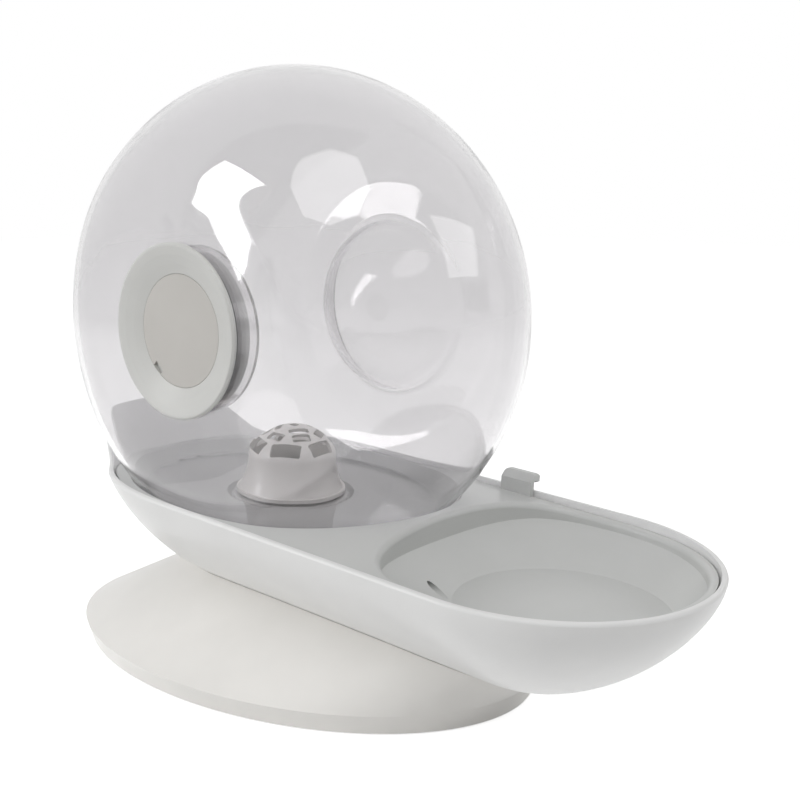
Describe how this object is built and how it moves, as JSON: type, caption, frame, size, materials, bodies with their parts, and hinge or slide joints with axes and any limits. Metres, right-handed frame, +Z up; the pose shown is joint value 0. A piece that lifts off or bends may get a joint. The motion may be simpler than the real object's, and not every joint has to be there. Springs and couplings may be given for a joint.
{
  "type": "gravity pet water dispenser",
  "caption": "Gravity water dispenser for cats and small dogs: a clear round tank with a side filler cap on a white flared stand with a grey drinking bowl.",
  "frame": {"origin": "on the table, under the middle of the whole object's outline", "axes": "+Z up, +X from the tank towards the drinking bowl, +Y towards the tank's hollowed side, away from the filler cap"},
  "size_m": [0.2983, 0.15, 0.2403],
  "materials": {
    "white_shell": "satin",
    "grey_insert": "satin",
    "clear_tank": "gloss",
    "grey_dome": "satin",
    "grey_cap": "satin",
    "warm_disc": "satin",
    "valve_plastic": "satin",
    "gasket_rubber": "matte",
    "foot_rubber": "matte",
    "filter_cotton": "matte",
    "screw_steel": "satin"
  },
  "bodies": {
    "stand": {"foot": "white_shell", "foot_screws": "screw_steel", "outer_shell": "white_shell", "foot_pad_1": "foot_rubber", "foot_pad_2": "foot_rubber", "foot_pad_3": "foot_rubber", "foot_pad_4": "foot_rubber"},
    "tray": {"tray_insert": "grey_insert"},
    "tank_unit": {"tank": "clear_tank", "filler_neck": "clear_tank", "outlet_neck": "clear_tank", "outlet_collar": "valve_plastic", "outlet_gasket": "gasket_rubber", "valve_guide": "valve_plastic", "valve_spring": "screw_steel"},
    "valve": {"valve_plunger": "valve_plastic", "valve_seal": "gasket_rubber"},
    "filter": {"filter_dome": "grey_dome", "filter_pad": "filter_cotton"},
    "cap_seal": {"cap_gasket": "gasket_rubber"},
    "cap": {"filler_cap": "grey_cap", "cap_disc": "warm_disc"}
  },
  "joints": [
    {"name": "tray_lift", "type": "slide", "parent": "stand", "child": "tray", "axis": [0.0593, 0, 0.9982], "range_m": [0, 0.06]},
    {"name": "tank_lift", "type": "slide", "parent": "tray", "child": "tank_unit", "axis": [0.0593, 0, 0.9982], "range_m": [0, 0.06]},
    {"name": "valve_stroke", "type": "slide", "parent": "tank_unit", "child": "valve", "axis": [0.0593, 0, 0.9982], "range_m": [-0.004, 0], "deforming": ["valve_spring"]},
    {"name": "filter_lift", "type": "slide", "parent": "tank_unit", "child": "filter", "axis": [0.0593, 0, 0.9982], "range_m": [0, 0.06]},
    {"name": "cap_slide", "type": "slide", "parent": "tank_unit", "child": "cap_seal", "axis": [0, -1, 0], "range_m": [0, 0.0121]},
    {"name": "cap_turn", "type": "hinge", "parent": "cap_seal", "child": "cap", "pos_m": [-0.03647, 0, 0.14028], "axis": [0, -1, 0], "range_deg": [0, 540]}
  ],
  "couplings": [
    {"joint": "valve_stroke", "follows": "tank_lift", "ratio": -0.065},
    {"joint": "cap_slide", "follows": "cap_turn", "m_per_rad": 0.0012732}
  ]
}
